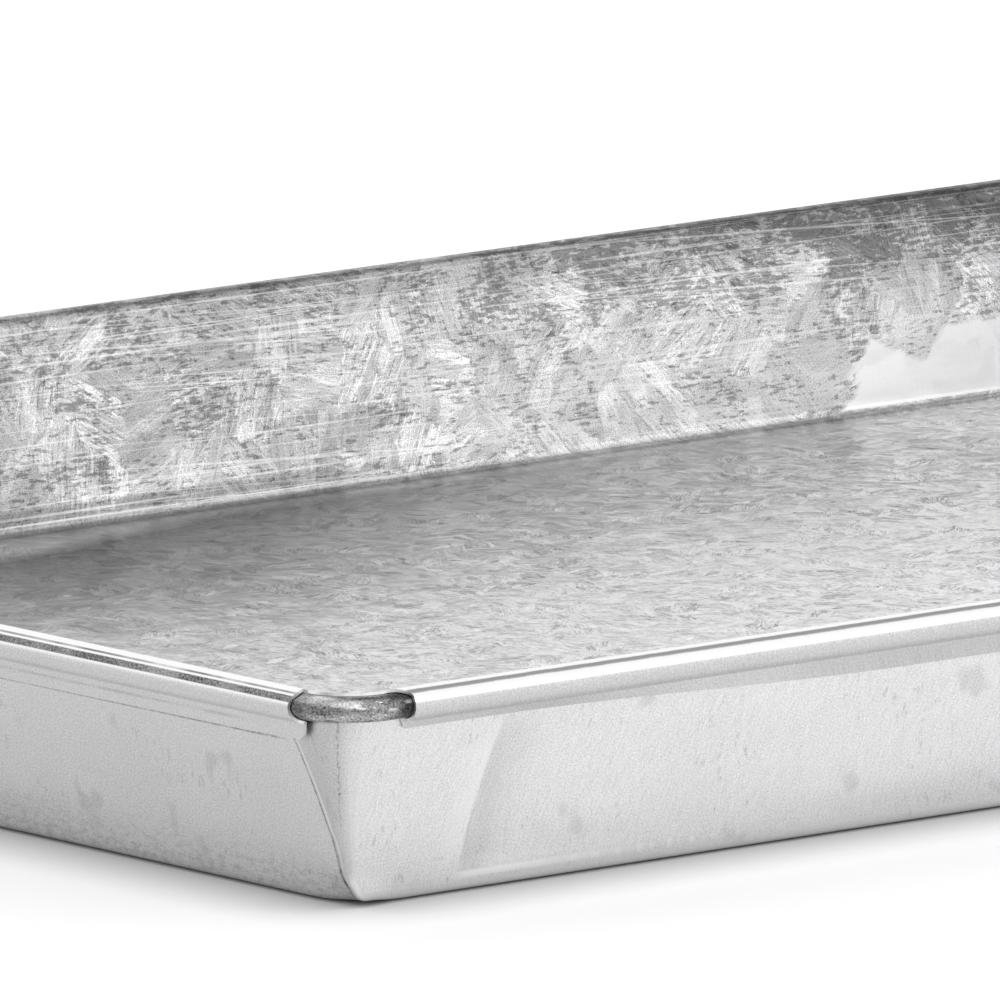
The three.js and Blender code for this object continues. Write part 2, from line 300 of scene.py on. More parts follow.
def quarter_columns(close):
    columns = [long_column(share) for share in long_shares(close)]
    columns += [corner_column(k / CORNER_STEPS) for k in range(1, CORNER_STEPS + 1)]
    columns += [ear_column(k) for k in range(2 * EAR_STEPS + 1)]
    columns += [end_column(share) for share in end_shares()]
    return columns


def ring_columns():
    """All the way round, as four mirrored quarters. The first is at the photographed corner."""
    ring = []
    for sx, sy in ((-1, -1), (-1, 1), (1, 1), (1, -1)):
        quarter = quarter_columns(close=sx < 0 and sy < 0)
        order = quarter if sx == sy else quarter[::-1]
        for column in order[:-1]:
            ring.append(np.array(column) * (sx, sy, 1))
    return ring


# Small unevenness of a folded sheet, which both of its faces follow
CREASE_X = (-201.5, -200.5)  # the kink in the front wall near the corner, at its foot and its top
CREASE_Z = (4.6, 30.0)
CREASE_DEPTH = 0.42
RIDGE_HEIGHT = 3.2  # the line along the front wall's foot that the folding die left
RIDGE_DEPTH = 0.16
WALL_WAVES = ((0.22, 31.0, 23.0, 0.0), (0.12, 12.7, -9.0, 1.3))  # size, lengths both ways, phase
WAVES_START = (3.0, 9.0)  # up the wall
WAVES_STOP = (24.0, 29.0)
LONG_STIFF = (185.0, 215.0)  # towards the corners
END_STIFF = (120.0, 148.0)


def front_kink(x, z):
    """How far the front wall is pushed in: a sharp step at the crease that fades along the wall."""
    past = x - np.interp(z, CREASE_Z, CREASE_X)
    dent = CREASE_DEPTH * smooth(past, -0.6, 1.6) * np.exp(-np.maximum(past, 0.0) / 9.0)
    dent *= smooth(z, 3.0, 7.0) * (1 - smooth(z, 26.0, 31.0))
    ridge = RIDGE_DEPTH * smooth(past, -1.0, 4.0) * (1 - smooth(past, 15.0, 70.0))
    ridge *= np.exp(-((z - RIDGE_HEIGHT) / 0.7) ** 2)
    return dent - ridge


def sway(ring):
    """Waves in the walls between their foot and the bead, and the kink in the front wall."""
    for column in ring:
        x, y, z = column.T
        loose = smooth(z, *WAVES_START) * (1 - smooth(z, *WAVES_STOP))
        rows = np.arange(len(column)) <= EAR_LEVEL
        side = np.abs(y) > WIRE_Y - WIRE_BEND_RADIUS - (WIRE_Z - z) * SIN
        stiff = np.where(side, smooth(np.abs(x), *LONG_STIFF), smooth(np.abs(y), *END_STIFF))
        along = np.where(side, x + 40 * np.sign(y), y + 90 * np.sign(x))
        wave = sum(size * np.sin(along / a + z / b + phase) for size, a, b, phase in WALL_WAVES)
        move = wave * loose * (1 - stiff) * rows
        front = side & (y < 0) & (np.abs(x) < 222.0)
        move -= np.where(front & rows, front_kink(x, z), 0.0)
        column[:, 0] += np.where(side, 0.0, np.sign(x) * move)
        column[:, 1] += np.where(side, np.sign(y) * move, 0.0)


FOOT_PULL = (1.5, -0.9, 0.6)  # how far a corner's foot is pushed in, out at the long wall, and up
FOOT_SPREAD = 5.0
FOOT_FADE = (0.5, 6.5)


def draw_in(point):
    """A point of the sheet after the corners' feet are pushed into shape."""
    x, y, z = point
    foot_x, foot_y = WIRE_X + BEND_START, WIRE_Y + BEND_START
    off = math.hypot(abs(x) - foot_x, abs(y) - foot_y) / FOOT_SPREAD
    pull = math.exp(-off ** 2) * float(1 - smooth(z, *FOOT_FADE))
    side_x, side_y = math.copysign(pull, x), math.copysign(pull, y)
    return x - FOOT_PULL[0] * side_x, y - FOOT_PULL[1] * side_y, z + FOOT_PULL[2] * pull


sheet_ring = ring_columns()
sway(sheet_ring)


OFF_CORNER = (-100.0, -100.0)  # far from any fold


class Skin:
    """Vertices, faces and their texture places, gathered for one mesh."""

    def __init__(self):
        self.points, self.faces, self.slots, self.seam = [], [], [], []
        self.blank, self.wall, self.wear = [], [], []
        self.rim_length = 0.0

    def add(self, point, blank, wall, wear=OFF_CORNER):
        for places, place in zip((self.points, self.blank, self.wall, self.wear),
                                 (point, blank, wall, wear)):
            places.append(tuple(place))
        return len(self.points) - 1

    def face(self, corners, slot, seam=False):
        self.faces.append(corners)
        self.slots.append(slot)
        self.seam.append(seam)


OUTSIDE, INSIDE, EDGE = 0, 1, 2


def unit(v):
    return v / np.linalg.norm(v)


def across(ring, i, j):
    """Half the sheet's thickness square to it, towards its outer face."""
    count = len(ring)
    here = ring[i][j]
    steps = []
    if j < len(ring[i - 1]):
        steps.append(unit(here - ring[i - 1][j]))
    if j < len(ring[(i + 1) % count]):
        steps.append(unit(ring[(i + 1) % count][j] - here))
    along = sum(steps)
    spread = np.linalg.norm(along) / len(steps)
    along = unit(along)
    rises = []
    if j > 0:
        rises.append(here - ring[i][j - 1])
    if j + 1 < len(ring[i]):
        rises.append(ring[i][j + 1] - here)
    rises = [unit(r - along * np.dot(r, along)) for r in rises]
    up = sum(rises)
    climb = np.linalg.norm(up) / len(rises)
    return unit(np.cross(up, along)) * HALF / max(0.8, spread * climb)


def section_lengths():
    """Distance up the sheet from the bottom's edge, level by level."""
    places = [row.at for row in WALL + bead_levels(LAYER, LONG_HEM_DEPTH[1])]
    steps = [0.0] + [np.linalg.norm(b - a) for a, b in zip(places, places[1:])]
    return np.cumsum(steps) - steps[1]


HIDDEN = 1.28  # how much of the end wall each millimetre of the ear's thickness hides


def round_corner(past_x, past_y, radius):
    """The distance along a rounded corner from its middle, for a place that lies so far past the
    centre of its arc. Positive is towards the end wall."""
    if past_y <= 0:
        return math.pi / 4 * radius - past_y
    if past_x <= 0:
        return past_x - math.pi / 4 * radius
    return (math.pi / 4 - math.atan2(past_y, past_x)) * math.hypot(past_x, past_y)


# The corner map lays out the painted shade and highlights at the ear's fold and on the wire
def corner_map_place(point, j):
    """Where a point lies beside the ear's outer fold, and along its row from the middle of the
    corner, both in millimetres. Positive is towards the middle of the end wall. The end wall itself
    lies under the ear and is measured from where it comes out from behind it."""
    row = WALL[min(j, LIP_LEVEL)]
    fold = WALL[min(j, EAR_LEVEL)]
    radius = corner_radius(row.at)
    spine = max(along for along, _ in fold_points(fold.fold, fold.reach))
    past_x = abs(point[0]) - (WIRE_X + row.at[0] - radius)
    past_y = abs(point[1]) - (WIRE_Y + row.at[0] - radius)
    behind = fold.fold * EAR_DEPTH - (abs(point[0]) - WIRE_X - row.at[0])
    beside = -past_y - EAR_SEAT - spine - HIDDEN * max(0.0, behind)
    return beside, round_corner(past_x, past_y, radius)


def blank_headings(ring):
    """In the flat blank each column runs straight out from the bottom's edge, and the columns of a
    rounded corner run out between the two edges."""
    headings = []
    for column in ring:
        x, y, _ = column[0]
        if abs(abs(y) - (WIRE_Y + WALL[0].at[0])) < 1e-6:
            x = 0.0
        elif abs(abs(x) - (WIRE_X + WALL[0].at[0])) < 1e-6:
            y = 0.0
        headings.append(unit(np.sign((x, y))))
    return headings


def sheet_skin(ring):
    """The sheet as one closed body, with the flat bottom as a grid."""
    skin = Skin()
    count = len(ring)
    lengths = section_lengths()
    crest = [column[EAR_LEVEL] for column in ring]
    rim = np.cumsum([0.0] + [np.linalg.norm(b - a) for a, b in zip(crest, crest[1:])])
    number = {}
    for i, (column, heading) in enumerate(zip(ring, blank_headings(ring))):
        side = 1 if heading[0] == 0 else 0
        steps = np.linalg.norm(np.diff(column[LIP_LEVEL:][:, [side, 2]], axis=0), axis=1)
        bead = lengths[LIP_LEVEL] + np.cumsum([0.0, *steps])
        for j, height in enumerate(np.concatenate((lengths[:LIP_LEVEL], bead))[:len(column)]):
            step = across(ring, i, j)
            places = (column[0][:2] + heading * max(height, 0.0), (rim[i], height),
                      corner_map_place(column[j], j))
            number[i, j] = skin.add(column[j] + step, *places)
            skin.add(column[j] - step, *places)

    def joined(i, j):
        return j < len(ring[i % count]) and j < len(ring[(i + 1) % count])

    def has_cell(i, j):
        return j >= 0 and joined(i, j + 1)

    def vertex(place, side):
        return number[place[0] % count, place[1]] + side

    def close_edge(a, b):
        corners = (vertex(b, 0), vertex(a, 0), vertex(a, 1), vertex(b, 1))
        skin.face(corners, EDGE, a[0] != b[0] and max(a[0], b[0]) == count)

    for i in range(count):
        j = 0
        while has_cell(i, j):
            corners = [(i, j), (i, j + 1), (i + 1, j + 1), (i + 1, j)]
            seam = i + 1 == count
            skin.face([vertex(c, 0) for c in corners], OUTSIDE, seam)
            skin.face([vertex(c, 1) for c in reversed(corners)], INSIDE, seam)
            beyond = ((i - 1, j), (i, j + 1), (i + 1, j))
            for cell, a, b in zip(beyond, corners, corners[1:]):
                if not has_cell(*cell):
                    close_edge(a, b)
            j += 1
    add_bottom(skin, ring, number)
    skin.points = [draw_in(point) for point in skin.points]
    skin.rim_length = rim[-1] + np.linalg.norm(crest[0] - crest[-1])
    return skin


FLOOR_BULGE = 0.35  # the bottom stands up this much in places
FLOOR_MARGIN = 7.0
FLOOR_GRID = (45, 33)
FLOOR_HEIGHT = -20.0  # the bottom's place in the map of the walls, well below them


def floor_lift(x, y):
    edge = (1 - smooth(abs(x), 150.0, 215.0)) * (1 - smooth(abs(y), 90.0, 150.0))
    wave = math.sin(x / 47.0 + 0.6) * math.cos(y / 39.0 - 0.4) + 0.5 * math.sin(x / 21.0 - y / 26.0)
    return FLOOR_BULGE * edge * (0.5 + wave / 3.0)


def add_bottom(skin, ring, number):
    """The flat bottom: an even grid, whose border is joined to the feet of the wall's columns."""
    half_x = WIRE_X + WALL[0].at[0] - FLOOR_MARGIN
    half_y = WIRE_Y + WALL[0].at[0] - FLOOR_MARGIN
    xs = np.linspace(-half_x, half_x, FLOOR_GRID[0])
    ys = np.linspace(-half_y, half_y, FLOOR_GRID[1])
    grid = {}
    for a, x in enumerate(xs):
        for b, y in enumerate(ys):
            lift = floor_lift(x, y)
            grid[a, b] = skin.add((x, y, lift), (x, y), (x, FLOOR_HEIGHT))
            skin.add((x, y, lift + SHEET), (x, y), (x, FLOOR_HEIGHT))

    def face(a, b, c):
        skin.face((a, b, c), OUTSIDE)
        skin.face((c + 1, b + 1, a + 1), INSIDE)

    right, top = FLOOR_GRID[0] - 1, FLOOR_GRID[1] - 1
    border = [(a, 0) for a in range(right, 0, -1)] + [(0, b) for b in range(top)]
    border += [(a, top) for a in range(right)] + [(right, b) for b in range(top, 0, -1)]
    places = np.array([(xs[a], ys[b]) for a, b in border])
    nearest = [int(np.argmin(np.hypot(*(places - column[0][:2]).T))) for column in ring]
    for i, at in enumerate(nearest):
        k = (i + 1) % len(ring)
        while at != nearest[k]:
            following = (at + 1) % len(border)
            face(grid[border[at]], number[i, 0], grid[border[following]])
            at = following
        face(grid[border[at]], number[i, 0], number[k, 0])
    for a in range(right):
        for b in range(top):
            corners = [grid[a, b], grid[a, b + 1], grid[a + 1, b + 1], grid[a + 1, b]]
            skin.face(corners, OUTSIDE)
            skin.face([c + 1 for c in reversed(corners)], INSIDE)


SHARP_ANGLE = math.radians(40.0)


def make_object(name, skin, materials):
    mesh = bpy.data.meshes.new(name)
    mesh.from_pydata([tuple(c * MM for c in p) for p in skin.points], [], skin.faces)
    for material in materials:
        mesh.materials.append(material)
    mesh.polygons.foreach_set("material_index", skin.slots)
    mesh.polygons.foreach_set("use_smooth", [True] * len(skin.faces))
    layers = {"blank": skin.blank, "wall": skin.wall, "wear": skin.wear}
    for layer_name, places in layers.items():
        layer = mesh.uv_layers.new(name=layer_name)
        flat = []
        for face, seam in zip(skin.faces, skin.seam):
            for corner in face:
                u, v = places[corner]
                if seam and layer_name == "wall" and u < skin.rim_length / 2:
                    u += skin.rim_length
                flat += (u * MM, v * MM)
        layer.uv.foreach_set("vector", flat)
    mesh.update()
    mesh.set_sharp_from_angle(angle=SHARP_ANGLE)
    obj = bpy.data.objects.new(name, mesh)
    bpy.context.scene.collection.objects.link(obj)
    return obj


# The wire: one rod bent to a rectangle with rounded corners, with its ends butted in the back rim
def wire_stations():
    stations = []
    corners = ((-1, 1, 90), (-1, -1, 180), (1, -1, 270), (1, 1, 360))
    points = [(-WIRE_END_GAP / 2, WIRE_Y, math.pi)]
    for sx, sy, start in corners:
        for k in range(CORNER_STEPS + 1):
            a = math.radians(start + 90 * k / CORNER_STEPS)
            x = sx * CORNER_X + WIRE_BEND_RADIUS * math.cos(a)
            points.append((x, sy * CORNER_Y + WIRE_BEND_RADIUS * math.sin(a), a + math.pi / 2))
    points.append((WIRE_END_GAP / 2, WIRE_Y, math.pi))
    for (xa, ya, ha), (xb, yb, _) in zip(points, points[1:]):
        stations.append((xa, ya, ha))
        pieces = max(1, int(math.hypot(xb - xa, yb - ya) / WIRE_PIECE))
        for k in range(1, pieces):
            stations.append((lerp(xa, xb, k / pieces), lerp(ya, yb, k / pieces), ha))
    stations.append(points[-1])
    return stations


def wire_skin():
    skin = Skin()
    run = 0.0
    last = None
    rings = []
    for x, y, heading in wire_stations():
        if last is not None:
            run += math.hypot(x - last[0], y - last[1])
        last = (x, y)
        bare = round_corner(abs(x) - CORNER_X, abs(y) - CORNER_Y, WIRE_BEND_RADIUS)
        row = []
        for k in range(WIRE_SIDES):
            a = 2 * math.pi * k / WIRE_SIDES - math.pi
            side, up = WIRE_SHOWN * math.cos(a), WIRE_SHOWN * math.sin(a)
            point = (x + side * math.sin(heading), y - side * math.cos(heading), WIRE_Z + up)
            row.append(skin.add(point, (x, y), (run, a * WIRE_RADIUS), (bare, 0.0)))
        rings.append(row)
    for first, second in zip(rings, rings[1:]):
        for k in range(WIRE_SIDES):
            n = (k + 1) % WIRE_SIDES
            skin.face((first[k], second[k], second[n], first[n]), 0)
    skin.face(rings[0], 0)
    skin.face(rings[-1][::-1], 0)
    return skin


# Finishes, built from nodes
class Nodes:
    """A node tree and short ways to add and join its nodes."""

    def __init__(self, tree):
        self.tree = tree
        tree.nodes.clear()

    def join(self, socket, value):
        if isinstance(value, bpy.types.NodeSocket):
            self.tree.links.new(value, socket)
        else:
            socket.default_value = value

    def node(self, kind, inputs=(), **settings):
        made = self.tree.nodes.new("ShaderNode" + kind)
        for key, value in settings.items():
            setattr(made, key, value)
        for key, value in dict(inputs).items():
            self.join(made.inputs[key], value)
        return made

    def math(self, operation, a, b=0.0, c=0.0):
        return self.node("Math", {0: a, 1: b, 2: c}, operation=operation).outputs[0]

    def vector(self, operation, inputs):
        return self.node("VectorMath", inputs, operation=operation).outputs[0]

    def times(self, first, *factors):
        for factor in factors:
            first = self.math("MULTIPLY", first, factor)
        return first

    def minus(self, a, b):
        return self.math("SUBTRACT", a, b)

    def raised(self, base, value, amount):
        """base plus amount times value."""
        return self.math("MULTIPLY_ADD", value, amount, base)

    def span(self, value, low, high, to_low=0.0, to_high=1.0, soft=False):
        """value from low..high to to_low..to_high, held at the ends."""
        ends = {"From Min": low, "From Max": high, "To Min": to_low, "To Max": to_high}
        kind = "SMOOTHSTEP" if soft else "LINEAR"
        return self.node("MapRange", {"Value": value, **ends}, interpolation_type=kind).outputs[0]

    def fall(self, value, low, high, soft=False):
        """1 below low and 0 above high."""
        return self.span(value, low, high, 1.0, 0.0, soft)

    def band(self, value, middle, half_width, soft):
        """1 within half_width of middle, with soft edges."""
        off = self.math("ABSOLUTE", self.minus(value, middle))
        return self.fall(off, half_width, half_width + soft, soft=True)

    def parts(self, vector):
        return self.node("SeparateXYZ", {0: vector}).outputs


class Finish(Nodes):
    """A material. Textures count their features per metre of the map that they are laid on."""

    def __init__(self, name):
        self.material = bpy.data.materials.new(name)
        self.material.use_nodes = True
        super().__init__(self.material.node_tree)
        self.output = self.node("OutputMaterial")

    def mix(self, share, a, b):
        return self.node("Mix", {"Factor": share, "A": a, "B": b}, data_type="FLOAT").outputs[0]

    def darken(self, tone, mask, amount=1.0):
        return self.times(tone, self.minus(1.0, self.times(mask, amount)))

    def vary(self, tone, noise, amount):
        """tone with a noise about 0.5 added to it."""
        return self.raised(tone, self.minus(noise, 0.5), amount)

    def place(self, layer):
        return self.node("UVMap", uv_map=layer).outputs[0]

    def stretch(self, vector, scale, shift=(0, 0, 0)):
        inputs = {"Vector": vector, "Scale": scale, "Location": shift}
        return self.node("Mapping", inputs).outputs[0]

    def turn(self, vector, angle):
        inputs = {"Vector": vector, "Center": (0, 0, 0), "Angle": angle}
        return self.node("VectorRotate", inputs, rotation_type="Z_AXIS").outputs[0]

    def noise(self, vector, scale=1.0, detail=2.0, rough=0.5):
        inputs = {"Vector": vector, "Scale": scale, "Detail": detail, "Roughness": rough}
        return self.node("TexNoise", inputs, noise_dimensions="2D").outputs[0]

    def marks(self, vector, along, up, detail=2.0, rough=0.6, shift=(0, 0, 0)):
        """Noise with its own number of features each way."""
        return self.noise(self.stretch(vector, (along, up, 1.0), shift), 1.0, detail, rough)

    def cells(self, vector, scale=1.0):
        """Random numbers of the cells round scattered points."""
        inputs = {"Vector": vector, "Scale": scale}
        colour = self.node("TexVoronoi", inputs, voronoi_dimensions="2D").outputs["Color"]
        return self.node("SeparateColor", {0: colour}).outputs

    def grey(self, value):
        return self.node("CombineColor", {0: value, 1: value, 2: value}).outputs[0]

    def metal(self, tone, rough, normal=None):
        inputs = {"Base Color": self.grey(tone), "Roughness": rough, "Metallic": 1.0}
        if normal is not None:
            inputs["Normal"] = normal
        self.join(self.output.inputs[0], self.node("BsdfPrincipled", inputs).outputs[0])
        return self.material


FOOT_X, FOOT_Y = 0.225, 0.160  # the corner of the bottom, where its bends start
ROLL_SLANT = 0.35
OUTER_TONES = (0.75, 0.803)  # of the end walls and of the long walls
TICK_DEPTHS = (0.08, 0.2)

# Heights up the sheet's section, in metres from the edge of the bottom
WALL_RISE = (0.001, 0.003)
BEAD_RISE = (0.0396, 0.0410)
BACK_BEAD_LATER = 0.0016
BEAD_LINE = 0.04265
BEAD_BAND = 0.0438
HEM_RISE = (0.0443, 0.0450)
HEM_LONG_EARLIER = 0.0002
HEM_CREST = 0.0513
HEM_FACE = (0.0516, 0.0522)
HEM_GROOVE = 0.0542
UNDER_HEM = 0.0296
FOOT_SHADE = 0.002
BEND_SHADE_RISE = 0.0042
RIDGE_RISE = 0.0042

# Crystals: the size of a grain, and the length and width of its shards
WALL_CRYSTALS = (0.0115, 0.009, 0.0023)
FLOOR_CRYSTALS = (0.0065, 0.0055, 0.0014)
CRYSTAL_TONE = 0.57
GRAIN_WOBBLE = 0.004


class SheetFinish(Finish):
    """A finish of the sheet, with its maps at hand. up is the distance up the sheet's section,
    beside that from the ear's outer fold and turned that from the middle of the corner."""

    def __init__(self, name):
        super().__init__(name)
        self.blank, self.wall = self.place("blank"), self.place("wall")
        self.along, self.up, _ = self.parts(self.wall)
        self.x, self.y, _ = self.parts(self.blank)
        self.beside, self.turned, _ = self.parts(self.place("wear"))
        size_x, size_y, _ = self.parts(self.vector("ABSOLUTE", {0: self.blank}))
        self.long_wall = self.math("GREATER_THAN", self.minus(size_y, size_x), FOOT_Y - FOOT_X)
        self.end_wall = self.minus(1.0, self.long_wall)

    def brushed(self):
        """The matt outer face: fine slanted rolling marks on the long walls, grain all over, and
        the end walls
        painted lighter towards the top: painted light.
        """
        lean = self.raised(self.along, self.up, ROLL_SLANT)
        lean = self.node("CombineXYZ", {0: lean, 1: self.up}).outputs[0]
        ticks = self.marks(lean, 2400.0, 260.0)
        tone = self.mix(self.long_wall, *OUTER_TONES)
        tone = self.vary(tone, ticks, self.mix(self.long_wall, *TICK_DEPTHS))
        tone = self.vary(tone, self.noise(self.wall, 3000.0, 2.0, 0.8), 0.7)
        tone = self.vary(tone, self.noise(self.wall, 60.0, 3.0, 0.6), 0.06)
        # Painted light: the end walls are lighter towards the top
        pale = self.times(self.span(self.up, 0.016, 0.032, soft=True), self.end_wall)
        return self.raised(tone, pale, 0.06), self.span(ticks, 0.2, 0.8, 0.5, 0.42)


def spangle(coat, grain, shard_long, shard_wide):
    """Zinc crystals: grains of that size, each with straight shards and needles in its own
    direction, some with bright edges. Returns tone about 0 to 1, the grain's random numbers and
    the shard's."""
    place = coat.blank
    wobble = coat.node("TexNoise", {"Vector": place, "Scale": 260.0, "Detail": 2.0},
                       noise_dimensions="2D").outputs["Color"]
    shift = coat.vector("SUBTRACT", {0: wobble, 1: (0.5, 0.5, 0.5)})
    shift = coat.vector("SCALE", {0: shift, "Scale": GRAIN_WOBBLE})
    loose = coat.vector("ADD", {0: place, 1: shift})
    tint = coat.cells(loose, 1.0 / grain)
    turned = coat.turn(place, coat.times(tint[0], 2 * math.pi))
    cut = coat.stretch(turned, (1.0 / shard_long, 1.0 / shard_wide, 1.0))
    shade = coat.cells(cut)
    border = coat.node("TexVoronoi", {"Vector": cut}, voronoi_dimensions="2D",
                       feature="DISTANCE_TO_EDGE").outputs["Distance"]
    fine = coat.marks(turned, 0.5 / shard_wide, 4.0 / shard_wide, 3.0)
    rim = coat.times(coat.fall(border, 0.015, 0.06), coat.span(shade[2], 0.45, 0.7))
    needles = coat.minus(coat.span(fine, 0.60, 0.67), coat.fall(fine, 0.33, 0.40))
    part = coat.times(coat.minus(shade[1], 0.5), 0.34)
    part = coat.raised(part, coat.span(shade[0], 0.90, 0.97), 0.16)
    part = coat.raised(part, rim, 0.5)
    part = coat.vary(part, fine, 0.6)
    part = coat.raised(part, needles, 0.2)
    lively = coat.span(tint[2], 0.25, 0.6, 0.5, 1.0)
    return coat.raised(coat.vary(CRYSTAL_TONE, tint[1], 0.07), part, lively), tint, shade


def tilt(coat, tint, shade, strength):
    """Each crystal and shard faces a little its own way."""
    x, y = (coat.mix(0.5, tint[k], shade[k]) for k in (1, 2))
    colour = coat.node("CombineColor", {0: x, 1: y, 2: 1.0}).outputs[0]
    inputs = {"Color": colour, "Strength": strength}
    return coat.node("NormalMap", inputs, uv_map="blank").outputs[0]


def wall_dashes(coat, hatch, shade):
    """Dark dashes in rows, crowded in some places, towards the rim and at the walls' right end."""
    crowd = coat.raised(-0.225, coat.marks(coat.blank, 75.0, 110.0, 3.0, 0.65), 1.1)
    crowd = coat.raised(crowd, coat.span(coat.up, 0.02, 0.042), 0.1)
    far_top = coat.times(coat.span(coat.x, 0.05, 0.16), coat.span(coat.up, 0.024, 0.036))
    for crowding, amount in ((far_top, 0.3), (hatch, 0.35), (shade[2], 0.08)):
        crowd = coat.raised(crowd, crowding, amount)
    dashes = coat.marks(coat.wall, 380.0, 1400.0)
    return coat.span(coat.raised(crowd, dashes, 1.15), 1.165, 1.39, soft=True)


def scratches(coat):
    """Long thin scratches, nearly along the rim."""
    sets = []
    for angle, low, high in ((0.0, 0.56, 0.70), (3.0, 0.62, 0.74)):
        lines = coat.marks(coat.turn(coat.wall, math.radians(angle)), 9.0, 1500.0)
        sets.append(coat.span(lines, low, high, soft=True))
    return coat.math("MAXIMUM", *sets)


def bead_marks(coat, broken):
    """A thin dark line and a speckled dark band along the end walls' beads."""
    line = coat.times(coat.band(coat.up, BEAD_LINE, 0.0001, 0.0002), coat.end_wall,
                      coat.span(broken, 0.35, 0.6, 0.35, 0.85))
    speckle = coat.noise(coat.wall, 2600.0, 2.0, 0.8)
    speckled_band = coat.times(coat.band(coat.up, BEAD_BAND, 0.00045, 0.0002), coat.end_wall,
                       coat.span(speckle, 0.3, 0.65, 0.6, 1.05),
                       coat.span(broken, 0.35, 0.6, 0.86, 1.08))
    return coat.math("MAXIMUM", line, speckled_band)


PATCH_END = (0.1326, 0.1340)  # along the back wall
PATCH_SLANT = -0.6
PATCH_TOP = 0.0158
PATCH_BITE = ((0.1405, 0.1535), (0.1545, 0.1585), -0.0058)  # both flanks and the depth


def glare_patch(coat, hatch, shade):
    """A painted highlight: a patch low on the back wall painted white where a lamp's reflection
    falls, with a slanted end and a crystal of the wall standing into it from above.
    """
    slant = coat.vary(coat.raised(coat.x, coat.up, PATCH_SLANT), shade[1], 0.003)
    near, far, depth = PATCH_BITE
    bite = coat.math("MINIMUM", coat.span(coat.x, *near), coat.fall(coat.x, *far))
    top = coat.vary(coat.raised(PATCH_TOP, bite, depth), shade[2], 0.0012)
    below = coat.fall(coat.minus(coat.up, top), -0.0005, 0.0005)
    return coat.times(coat.span(slant, *PATCH_END), below, coat.span(hatch, 0.35, 0.65, 0.92, 1.0))


def wall_tones(coat, crystals, grain):
    """The inner walls' tone, painted lighter low down and towards the right (painted light), and
    how much they are shaded towards the rim (painted shade, deeper at the right end).
    """
    x, up = coat.x, coat.up
    crystals = coat.raised(CRYSTAL_TONE, coat.minus(crystals, CRYSTAL_TONE), 0.85)
    tone = coat.vary(crystals, grain, 1.3)
    # Painted light low on the walls and towards the right
    lighter = coat.times(coat.fall(up, 0.006, 0.026), coat.span(x, -0.03, 0.10, -0.02, 0.44))
    tone = coat.times(tone, coat.math("ADD", lighter, coat.span(x, 0.0, 0.08, 0.97, 1.05)))
    # Painted shade towards the rim, deeper at the right end
    shaded = coat.times(coat.span(up, 0.031, 0.0375), coat.span(x, -0.06, 0.16, 0.24, 0.34))
    deeper = coat.times(coat.span(up, 0.027, 0.034), coat.span(x, 0.08, 0.15, 0.0, 0.25))
    shaded = coat.math("ADD", shaded, deeper)
    tone = coat.darken(tone, shaded)
    return coat.darken(tone, coat.band(x, 0.010, 0.008, 0.015), 0.13), shaded


FLOOR_BACK = 0.159  # the bottom's back edge


def floor_tones(coat, crystals, wall_tone):
    """The bottom's tone: painted shade towards the back, deepest at the left, and painted light
    towards the front and the right, but for a strip that is like the wall behind it.
    """
    x, blank = coat.x, coat.blank
    tone = coat.raised(0.605, coat.minus(crystals, CRYSTAL_TONE), 1.4)
    grain = coat.marks(blank, 1700.0, 520.0, 3.0, 0.8)
    tone = coat.vary(tone, grain, 1.0)
    tone = coat.vary(tone, coat.marks(blank, 300.0, 110.0, 3.0, 0.7), 0.5)
    ragged = coat.noise(blank, 90.0, 3.0, 0.7)
    edge = coat.times(coat.span(x, -0.06, -0.01, 0.0175, 0.0063),
                      coat.span(x, 0.03, 0.16, 1.0, 0.1), coat.span(ragged, 0.3, 0.7, 0.94, 1.06))
    past = coat.minus(coat.minus(FLOOR_BACK, coat.y), edge)
    reach = coat.times(coat.span(ragged, 0.3, 0.7, 0.075, 0.125),
                       coat.span(x, -0.02, 0.06, 1.0, 0.85))
    # Painted shade along the back of the bottom, deepest at the left
    back_shade = coat.times(coat.fall(coat.math("DIVIDE", past, reach), 0.0, 1.0),
                      coat.span(x, -0.06, 0.16, 1.0, 0.38))
    tone = coat.darken(tone, back_shade, coat.span(grain, 0.3, 0.7, 0.78, 1.16))
    # Painted light towards the front and the right
    tone = coat.times(tone, coat.span(coat.minus(x, coat.y), -0.12, 0.03, 1.03, 1.30))
    strip = coat.times(coat.fall(past, -0.007, 0.001), coat.span(edge, 0.0, 0.003))
    return coat.mix(strip, tone, wall_tone)


def hem_face(coat, broken):
    """The outside of the hem, which is the sheet's inner face turned over. On the long walls it has
    painted shade and a painted highlight along its crest; on the end walls painted shade lies in a
    thin line at its crease.
    """
    tone, rough = coat.brushed()
    # Painted shade over the long walls' hems
    tone = coat.darken(tone, coat.long_wall, 0.19)
    # Painted shade in a thin line at the end walls' hem crease
    groove = coat.times(coat.band(coat.up, HEM_GROOVE, 0.0001, 0.0003), coat.end_wall,
                        coat.span(coat.beside, 0.002, 0.012), coat.span(broken, 0.4, 0.6, 0.3, 1.0))
    tone = coat.darken(tone, groove, 0.2)
    face = coat.times(coat.span(coat.up, *HEM_FACE), coat.long_wall)
    lengths = coat.marks(coat.wall, 22.0, 0.0, 1.0, 0.5)
    tone = coat.darken(tone, face, coat.span(lengths, 0.35, 0.6, 0.17, 0.0))
    # Painted highlight along the long walls' hem crest
    crest = coat.times(coat.band(coat.up, HEM_CREST, 0.0001, 0.0003), coat.long_wall)
    return coat.mix(coat.times(crest, 0.7), tone, 0.98), rough


